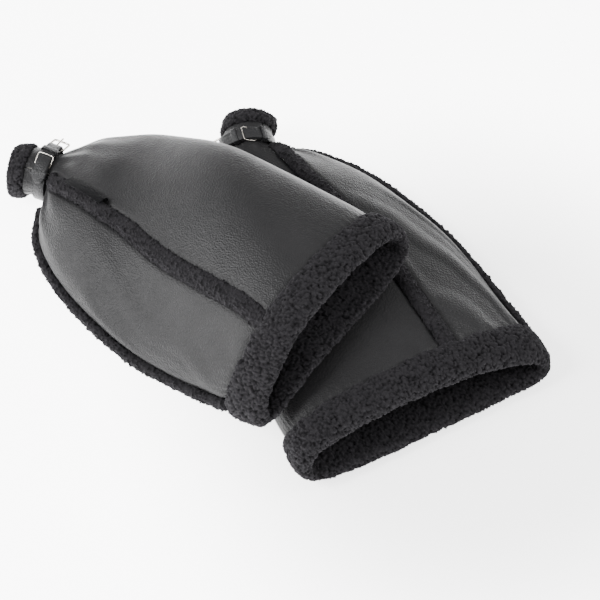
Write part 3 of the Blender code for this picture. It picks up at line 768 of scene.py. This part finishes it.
# ---------------------------------------------------------------- wadding and lining
def upper_limits(muff, s):
    return (muff.v_step(s, 0.0, WADDING_SIDE_GAP),
            LAYER_SPLIT - muff.v_step(s, LAYER_SPLIT, WADDING_FOLD_GAP))


def lower_limits(muff, s):
    return (LAYER_SPLIT + muff.v_step(s, LAYER_SPLIT, WADDING_FOLD_GAP),
            SECTION_POINTS - muff.v_step(s, 0.0, WADDING_SIDE_GAP))


def wadding(muff, kind, limits):
    s, v, _, world = panel_grid(muff, limits, LEATHER_STARTS, WADDING_ENDS, WADDING_STEP)
    loft = 0.25 * MM * value_noise(world, 8 * MM, 71)
    top = muff.point(s, v, WADDING_TOP + WADDING_SLACK - loft)
    bottom = muff.point(s, v, WADDING_BOTTOM - WADDING_SLACK + loft)
    obj = slab(muff.name + "_wadding_" + kind, top, bottom, WADDING_LOOK)
    finished(obj, muff.body, [muff.name + "_insulation_" + kind])


def upper_lining_limits(muff, s):
    return (muff.v_step(s, 0.0, np.where(s < 4.5, STITCHED_GAP, LINING_GAP)),
            LAYER_SPLIT - muff.v_step(s, LAYER_SPLIT, FOLD_GAP))


def lower_lining_limits(muff, s):
    return (LAYER_SPLIT + muff.v_step(s, LAYER_SPLIT, FOLD_GAP),
            SECTION_POINTS - muff.v_step(s, 0.0, np.where(s < 4.5, STITCHED_GAP, LINING_GAP)))


def lining(muff, kind, limits):
    s, v, _, _ = panel_grid(muff, limits, LEATHER_STARTS, LINING_ENDS, LINING_STEP)
    inner = muff.point(s, v, LINING_BOTTOM - 1.0 * MM)
    level = curls(inner, 91)
    depth = LINING_BOTTOM - 1.2 * MM + 2.2 * MM * (level - 0.5)
    obj = slab(muff.name + "_fleece_lining_" + kind, muff.point(s, v, LINING_TOP),
               muff.point(s, v, depth), SHADED_LINING_LOOK, level)
    finished(obj, muff.body, [muff.name + "_lining_" + kind])


# ---------------------------------------------------------------- fleece trims
CUFF_PROFILE = (
    (10.98, 1), (10.97, -3), (11.15, -6), (11.5, -7), (11.82, -5.8), (11.98, -1),
    (12.0, 3.5), (11.86, 6.8), (11.5, 8.2), (11.1, 8.0), (10.98, 5),
)
COLLAR_PROFILE = (
    (0.0, -0.8), (0.15, -3.0), (0.6, -3.4), (0.93, -2.2),
    (1.0, 1.0), (0.95, 6.5), (0.5, 7.6), (0.1, 6.8), (-0.05, 3.0),
)
CREST_PROFILE = (
    (8.4, 1.0), (8.3, -1.8), (5.0, -4.8), (0.0, -5.7),
    (-5.0, -4.8), (-8.3, -1.8), (-8.4, 1.0), (0.0, 1.6),
)


def profile_loop(muff, profile):
    """Evenly spaced (s, depth in metres) points around a closed profile."""
    t = np.linspace(0, len(profile), 40 * len(profile), endpoint=False)
    fine = catmull_rom(profile, t, True)
    first = profile[0][0]
    row = muff.point(first + 0.05, CREST) - muff.point(first - 0.05, CREST)
    scale = np.linalg.norm(row) / 0.1
    metres = fine * np.array([scale, MM])
    even = resampled(metres, FLEECE_STEP, True)
    return even[:, 0] / scale, even[:, 1]


def ring_rows(muff, row, start, end):
    """Values of v from start to end, evenly spaced around the section at a row."""
    v = np.linspace(start, end, 600)
    world = muff.point(row, v)
    length = np.concatenate([[0], np.cumsum(np.linalg.norm(np.diff(world, axis=0), axis=-1))])
    count = int(round(length[-1] / FLEECE_STEP))
    return np.interp(np.linspace(0, length[-1], count + 1), length, v)


def cuff(muff, kind, start, end):
    s, depth = profile_loop(muff, CUFF_PROFILE)
    v = ring_rows(muff, 11.5, start, end)
    edge = muff.point(11.0, v)
    wave = 0.055 * value_noise(edge, 10 * MM, 17) + 0.035 * value_noise(edge, 4 * MM, 18)
    outer = np.clip((11.6 - s) / 0.6, 0, 1) * (depth < 0)
    rows = s[None, :] + wave[:, None] * outer[None, :] - 0.03 * outer[None, :]
    points = muff.point(rows, v[:, None], depth[None, :])
    raised, level = fleecy(points, CUFF_PILE, 100, muff.side)
    obj = tube(muff.name + "_fleece_cuff_" + kind, raised, FLEECE_LOOK, False, level)
    finished(obj, muff.body, [muff.name + "_cuff_" + kind])


def collar(muff):
    s, depth = profile_loop(muff, COLLAR_PROFILE)
    v = ring_rows(muff, 0.5, 0.0, SECTION_POINTS)[:-1]
    points = muff.point(s[None, :], v[:, None], depth[None, :])
    raised, level = fleecy(points, COLLAR_PILE, 130, muff.side, wrap_rows=True)
    obj = tube(muff.name + "_fleece_collar", raised, FLEECE_LOOK, True, level)
    finished(obj, muff.body, [muff.name + "_neck_collar"])


def crest_points(muff, s, sideways, depth):
    """Points set out sideways from the crest seam, in metres."""
    seam = muff.crest_seam(s)
    return muff.point(s, seam + muff.v_step(s, seam, 1.0) * sideways, depth)


def tapered(s):
    """1 along a piping, falling at each end as a rounded end does."""
    near = np.clip((s - TRIM_STARTS) / 0.12, 0, 1)
    far = np.clip((PIPING_ENDS - s) / 0.06, 0, 1)
    shares = (np.sqrt(np.maximum(1 - (1 - end) ** 2, 0.02)) for end in (near, far))
    return math.prod(shares)


def centre_piping(muff):
    s = even_rows(muff, TRIM_STARTS, PIPING_ENDS, CREST, FLEECE_STEP)
    t = np.linspace(0, len(CREST_PROFILE), 300, endpoint=False)
    even = resampled(catmull_rom(CREST_PROFILE, t, True) * MM, FLEECE_STEP, True)
    taper = tapered(s)[:, None]
    sideways = even[None, :, 0] * (0.45 + 0.55 * taper)
    depth = even[None, :, 1] * taper
    points = crest_points(muff, s[:, None], sideways, depth)
    raised, level = fleecy(points, CENTRE_PILE, 160, -muff.side)
    obj = tube(muff.name + "_fleece_centre_piping", raised, FLEECE_LOOK, False, level)
    finished(obj, muff.body, [muff.name + "_centre_piping"])


def side_piping(muff):
    s = even_rows(muff, TRIM_STARTS, PIPING_ENDS, 0.0, FLEECE_STEP)
    base = muff.point(s, 0.0)
    centre = muff.point(s, 0.0, -SIDE_PIPING_LIFT)
    outward = unit(centre - base)
    across = unit(np.cross(outward, np.gradient(base, axis=0)))
    sides = int(2 * math.pi * 6.0 * MM / FLEECE_STEP)
    turn = np.linspace(0, 2 * math.pi, sides, endpoint=False)
    radius = SIDE_PIPING_RADIUS * tapered(s)[:, None, None]
    points = centre[:, None] + radius * (np.cos(turn)[None, :, None] * outward[:, None]
                                         + np.sin(turn)[None, :, None] * across[:, None])
    raised, level = fleecy(points, SIDE_PILE, 190, -1)
    obj = tube(muff.name + "_fleece_side_piping", raised, FLEECE_LOOK, False, level)
    finished(obj, muff.body, [muff.name + "_side_piping"])


# ---------------------------------------------------------------- strap and metalwork
class StrapFrame:
    """Axes at places on the strap: width along the neck, run around it, and outwards."""

    def __init__(self, muff, v):
        v = np.asarray(v, float)
        before, after = STRAP_ROW - 0.5, STRAP_ROW + 0.5
        width = muff.point(after, CREST) - muff.point(before, CREST)
        width = width + muff.point(after, UNDERNEATH) - muff.point(before, UNDERNEATH)
        width[2] = 0.0
        self.width = unit(width)
        self.foot = muff.point(STRAP_ROW, v)
        run = muff.point(STRAP_ROW, v + STEP) - muff.point(STRAP_ROW, v - STEP)
        run = run - self.width * (run @ self.width)[..., None]
        self.run = unit(run)
        outward = np.cross(self.run, self.width)
        away = muff.point(STRAP_ROW, v, -MM) - self.foot
        self.outward = outward * np.sign((outward * away).sum(-1))[..., None]

    def at(self, width, run, outward):
        width, run, outward = (np.asarray(x, float)[..., None] for x in (width, run, outward))
        return self.foot + width * self.width + run * self.run + outward * self.outward


def strap_level(turned):
    """Height of the strap's middle above the leather, by how far it has gone around."""
    rise = smoothstep((turned - (SECTION_POINTS + STRAP_START - HUMP_RISES))
                      / (HUMP_RISES - BUCKLE_AT))
    fall = smoothstep((turned - (SECTION_POINTS + STRAP_START - BUCKLE_AT))
                      / (BUCKLE_AT - HUMP_FALLS))
    return STRAP_LOW + (STRAP_HUMP - STRAP_LOW) * rise - (STRAP_HUMP - STRAP_HIGH) * fall


def band_section(half_width, half_thickness, steps=5):
    """A flat band's outline (width, height) with rounded edges."""
    side = []
    for i in range(steps + 1):
        a = -math.pi / 2 + math.pi * i / steps
        side.append((half_width - half_thickness + half_thickness * math.cos(a),
                     half_thickness * math.sin(a)))
    return np.array(side + [(-w, -h) for w, h in side])


def neck_strap(muff):
    total = SECTION_POINTS + STRAP_START - STRAP_END
    turned = np.linspace(0, total, 280)
    frames = StrapFrame(muff, STRAP_START - turned)
    section = band_section(STRAP_WIDTH / 2, STRAP_THICKNESS / 2)
    left = (total - turned) * 12 * MM
    tip = np.sqrt(np.clip(1 - (1 - np.clip(left / (7 * MM), 0, 1)) ** 2, 0.05, 1))
    rings = []
    for w, h in section:
        rings.append(frames.at(w * tip, 0.0 * turned, strap_level(turned) + h))
    obj = tube(muff.name + "_leather_strap", np.stack(rings, 1), STRAP_LOOK)
    finished(obj, muff.body, [muff.name + "_neck_strap"])
    stitches(muff, turned, total)


def stitches(muff, turned, total):
    """Thread along both edges of the strap."""
    places = np.arange(0.25, total - 0.55, 0.29)
    frames = StrapFrame(muff, STRAP_START - places)
    points, quads, tris = [], [], []
    sides, stations = 6, (-1.15, -0.9, 0.9, 1.15)
    for edge in (-1, 1):
        for side in (-1, 1):
            for i in range(len(places)):
                level = strap_level(places[i]) + side * STRAP_THICKNESS / 2
                start = len(points)
                for station in stations:
                    radius = STITCH_RADIUS * (0.45 if abs(station) > 1 else 1.0)
                    for k in range(sides):
                        a = 2 * math.pi * k / sides
                        across = edge * STITCH_LINE + radius * math.cos(a)
                        points.append(frames.foot[i] + frames.width * across
                                      + frames.run[i] * station * MM
                                      + frames.outward[i] * (level + radius * math.sin(a)))
                quads.append(grid_quads(len(stations), sides, start, False, True))
                last = start + sides * (len(stations) - 1)
                for k in range(1, sides - 1):
                    tris += [(start, start + k + 1, start + k), (last, last + k, last + k + 1)]
    obj = new_object(muff.name + "_strap_stitching", points, np.vstack(quads), THREAD_LOOK, tris)
    finished(obj, muff.body, [])


def wire(name, path, radius, guide, closed, sides=14):
    """A round wire along a path of points, with rounded ends if it is open."""
    path = np.asarray(path)
    along = np.roll(path, -1, 0) - np.roll(path, 1, 0) if closed else np.gradient(path, axis=0)
    along = unit(along)
    out = unit(guide - along * (along @ guide)[:, None])
    across = np.cross(along, out)
    thickness = np.full(len(path), radius)
    if not closed:
        length = np.concatenate([[0], np.cumsum(np.linalg.norm(np.diff(path, axis=0), axis=-1))])
        end = np.minimum(length, length[-1] - length)
        thickness = radius * np.sqrt(np.clip(1 - (1 - np.clip(end / radius, 0, 1)) ** 2, 0.02, 1))
    rings = [path + thickness[:, None] * (math.cos(a) * out + math.sin(a) * across)
             for a in np.linspace(0, 2 * math.pi, sides, endpoint=False)]
    return tube(name, np.stack(rings, 1), METAL_LOOK, closed)


def rounded_rectangle(half_width, low, high, corner, spacing=0.35 * MM):
    points = []
    centres = ((half_width - corner, high - corner), (-half_width + corner, high - corner),
               (-half_width + corner, low + corner), (half_width - corner, low + corner))
    for quarter, (x, y) in enumerate(centres):
        for a in np.linspace(math.pi / 2 * quarter, math.pi / 2 * (quarter + 1), 9):
            points.append((x + corner * math.cos(a), y + corner * math.sin(a)))
    return resampled(points, spacing, True)


def tilted(frame, tilt, width, run, lift=0.0):
    """A point of the buckle, turned about its bar."""
    return frame.at(width, run * math.cos(tilt) - lift * math.sin(tilt),
                    BAR_HEIGHT + run * math.sin(tilt) + lift * math.cos(tilt))


def buckle(muff):
    frame = StrapFrame(muff, BUCKLE_AT)
    outline = rounded_rectangle(BUCKLE_HALF_WIDTH, 0.0, BUCKLE_LENGTH, BUCKLE_CORNER)
    path = tilted(frame, BUCKLE_TILT, outline[:, 0], outline[:, 1])
    guide = tilted(frame, BUCKLE_TILT, 0.0, 0.0, 1.0) - tilted(frame, BUCKLE_TILT, 0.0, 0.0)
    obj = wire(muff.name + "_nickel_buckle", path, BUCKLE_WIRE, guide, True)
    finished(obj, muff.name + "_buckle", [muff.name + "_buckle_frame"])

    turn = np.linspace(math.radians(-20), math.radians(-320), 26)
    eye = [(PRONG_EYE * math.cos(a), PRONG_EYE * math.sin(a)) for a in turn]
    reach = [(x, 0.5 * MM + 0.6 * MM * math.sin(x / PRONG_LENGTH * math.pi))
             for x in np.linspace(2.6 * MM, PRONG_LENGTH, 30)]
    outline = resampled(eye + reach, 0.4 * MM, False)
    path = tilted(frame, PRONG_TILT, 0.0 * outline[:, 0], outline[:, 0], outline[:, 1])
    obj = wire(muff.name + "_nickel_prong", path, PRONG_WIRE, frame.width, False)
    finished(obj, muff.name + "_prong", [muff.name + "_buckle_prong"])


def strap_ring(muff):
    frame = StrapFrame(muff, RING_AT)
    outline = rounded_rectangle(RING_HALF_WIDTH, -RING_LENGTH / 2, RING_LENGTH / 2, RING_CORNER)
    run = outline[:, 1]
    path = frame.at(outline[:, 0], run * math.cos(RING_TILT),
                    RING_HEIGHT + run * math.sin(RING_TILT))
    obj = wire(muff.name + "_nickel_ring", path, RING_WIRE, frame.outward, True)
    finished(obj, muff.name + "_ring", [muff.name + "_strap_ring"])


def keeper(name, muff, v, body, node):
    """A flat leather loop around both layers of the strap."""
    frame = StrapFrame(muff, v)
    low = STRAP_LOW - STRAP_THICKNESS / 2 - KEEPER_GAP - KEEPER_WALL / 2
    top = STRAP_HIGH + STRAP_THICKNESS / 2 + KEEPER_GAP + KEEPER_WALL / 2
    wide = STRAP_WIDTH / 2 + KEEPER_GAP + KEEPER_WALL / 2
    loop = rounded_rectangle(wide, low, top, KEEPER_CORNER)
    outward = unit(np.roll(loop, 1, 0) - np.roll(loop, -1, 0))
    outward = np.stack([-outward[:, 1], outward[:, 0]], -1)
    section = band_section(KEEPER_WIDTH / 2, KEEPER_WALL / 2, 4)
    rings = []
    for w, h in section:
        place = loop + outward * h
        rings.append(frame.at(place[:, 0], np.full(len(loop), w), place[:, 1]))
    obj = tube(name, np.stack(rings, 1), STRAP_LOOK, True)
    finished(obj, body, [node])


def chape(muff):
    """Leather sleeve around the buckle's bar with a leg on the strap, in two ears."""
    frame = StrapFrame(muff, BUCKLE_AT)
    top = math.pi - math.asin(0.5 * MM / CHAPE_RADIUS)
    loop = [(CHAPE_RADIUS * math.cos(a), BAR_HEIGHT + CHAPE_RADIUS * math.sin(a))
            for a in np.linspace(0.25 - math.pi, top, 22)]
    loop += [(run, 3.7 * MM) for run in np.linspace(-2.8 * MM, -8.4 * MM, 12)]
    path = np.array(loop)
    along = unit(np.gradient(path, axis=0))
    normal = np.stack([along[:, 1], -along[:, 0]], -1)
    pieces = []
    for low, high in ((-CHAPE_WIDTH / 2, -CHAPE_SLOT), (CHAPE_SLOT, CHAPE_WIDTH / 2)):
        section = band_section((high - low) / 2, CHAPE_HALF_THICKNESS, 4)
        rings = []
        for w, h in section:
            run, level = path[:, 0] + normal[:, 0] * h, path[:, 1] + normal[:, 1] * h
            straight = np.maximum(run, -2.5 * MM)
            v = BUCKLE_AT + muff.v_step(STRAP_ROW, BUCKLE_AT, 1.0) * (run - straight)
            frames = StrapFrame(muff, v)
            rings.append(frames.at(np.full(len(run), (low + high) / 2 + w), straight, level))
        pieces.append(np.stack(rings, 1))
    points = np.vstack([p.reshape(-1, 3) for p in pieces])
    rows, sides = pieces[0].shape[:2]
    quads, tris = [], []
    for k in range(2):
        start = k * rows * sides
        quads.append(grid_quads(rows, sides, start, False, True))
        last = start + (rows - 1) * sides
        for j in range(1, sides - 1):
            tris += [(start, start + j + 1, start + j), (last, last + j, last + j + 1)]
    obj = new_object(muff.name + "_leather_chape", points, np.vstack(quads), STRAP_LOOK, tris)
    finished(obj, muff.body, [muff.name + "_buckle_chape"])


# ---------------------------------------------------------------- label
def label_tab(muff):
    """Plain woven tab, sewn along the main panel's edge and folded over the piping."""
    outer = catmull_rom(((12.2, -0.6), (11.7, -4.0), (9.4, -6.6), (5.4, -8.0), (2.2, -8.4)),
                        np.linspace(0, 4, 26)) * MM
    along = unit(np.gradient(outer, axis=0))
    inner = outer + np.stack([-along[:, 1], along[:, 0]], -1) * TAB_THICKNESS
    s = np.linspace(TAB_STARTS, TAB_ENDS, 70)
    grids = []
    for profile in (outer, inner):
        points = crest_points(muff, s[:, None], profile[None, :, 0], profile[None, :, 1])
        ripple = 0.25 * MM * value_noise(points, 14 * MM, 55)
        grids.append(points + ripple[..., None] * np.array([0, 0, 1.0]))
    obj = slab(muff.name + "_woven_tab", grids[0], grids[1], LABEL_LOOK)
    finished(obj, muff.body, [muff.name + "_label_tab"])


def build_muff(muff):
    leather_panel(muff, "side", side_limits)
    leather_panel(muff, "main", main_limits)
    leather_panel(muff, "bottom", bottom_limits)
    wadding(muff, "upper", upper_limits)
    wadding(muff, "lower", lower_limits)
    lining(muff, "upper", upper_lining_limits)
    lining(muff, "lower", lower_lining_limits)
    cuff(muff, "upper", CUFF_CLEARANCE, LAYER_SPLIT - CUFF_CLEARANCE)
    cuff(muff, "lower", LAYER_SPLIT + CUFF_CLEARANCE, SECTION_POINTS - CUFF_CLEARANCE)
    collar(muff)
    centre_piping(muff)
    side_piping(muff)
    neck_strap(muff)
    chape(muff)
    buckle(muff)
    strap_ring(muff)
    name = muff.name
    keeper(name + "_leather_keeper", muff, KEEPER_AT, muff.body, name + "_strap_keeper")
    keeper(name + "_loose_keeper", muff, SLIDING_KEEPER_AT, name + "_slider",
           name + "_sliding_keeper")


# ---------------------------------------------------------------- studio
def studio():
    mesh = bpy.data.meshes.new("floor")
    corners = [(x * FLOOR_HALF, y * FLOOR_HALF, 0) for x, y in ((-1, -1), (1, -1), (1, 1), (-1, 1))]
    mesh.from_pydata(corners, [], [(0, 1, 2, 3)])
    floor = bpy.data.objects.new("floor", mesh)
    floor.location.z = FLOOR_LEVEL
    mesh.materials.append(floor_material())
    bpy.context.scene.collection.objects.link(floor)

    world = bpy.data.worlds.new("studio")
    world.use_nodes = True
    background = world.node_tree.nodes["Background"]
    background.inputs["Color"].default_value = (1.0, 1.0, 1.0, 1.0)
    background.inputs["Strength"].default_value = WORLD_STRENGTH
    bpy.context.scene.world = world

    def light(name, place, size, power):
        lamp = bpy.data.lights.new(name, "AREA")
        lamp.shape = "DISK"
        lamp.size = size
        lamp.energy = power
        obj = bpy.data.objects.new(name, lamp)
        obj.location = place
        aim = np.array(LIGHT_TARGET) - np.array(place)
        turn = math.atan2(aim[1], aim[0])
        tip = math.acos(-aim[2] / np.linalg.norm(aim))
        obj.rotation_euler = (tip, 0.0, turn - math.pi / 2)
        bpy.context.scene.collection.objects.link(obj)

    light("key", *KEY_LIGHT)
    light("rim", *RIM_LIGHT)


def camera():
    flat = math.cos(CAMERA_ELEVATION)
    back = np.array((math.sin(CAMERA_AZIMUTH) * flat, -math.cos(CAMERA_AZIMUTH) * flat,
                     math.sin(CAMERA_ELEVATION)))
    lens = bpy.data.cameras.new("camera")
    lens.lens = 85
    lens.sensor_width = 36
    obj = bpy.data.objects.new("camera", lens)
    obj.location = np.array(CAMERA_TARGET) + back * CAMERA_DISTANCE
    obj.rotation_euler = (math.pi / 2 - CAMERA_ELEVATION, 0.0, CAMERA_AZIMUTH)
    bpy.context.scene.collection.objects.link(obj)
    bpy.context.scene.camera = obj


build_muff(RIGHT)
build_muff(LEFT)
label_tab(LEFT)
studio()
camera()
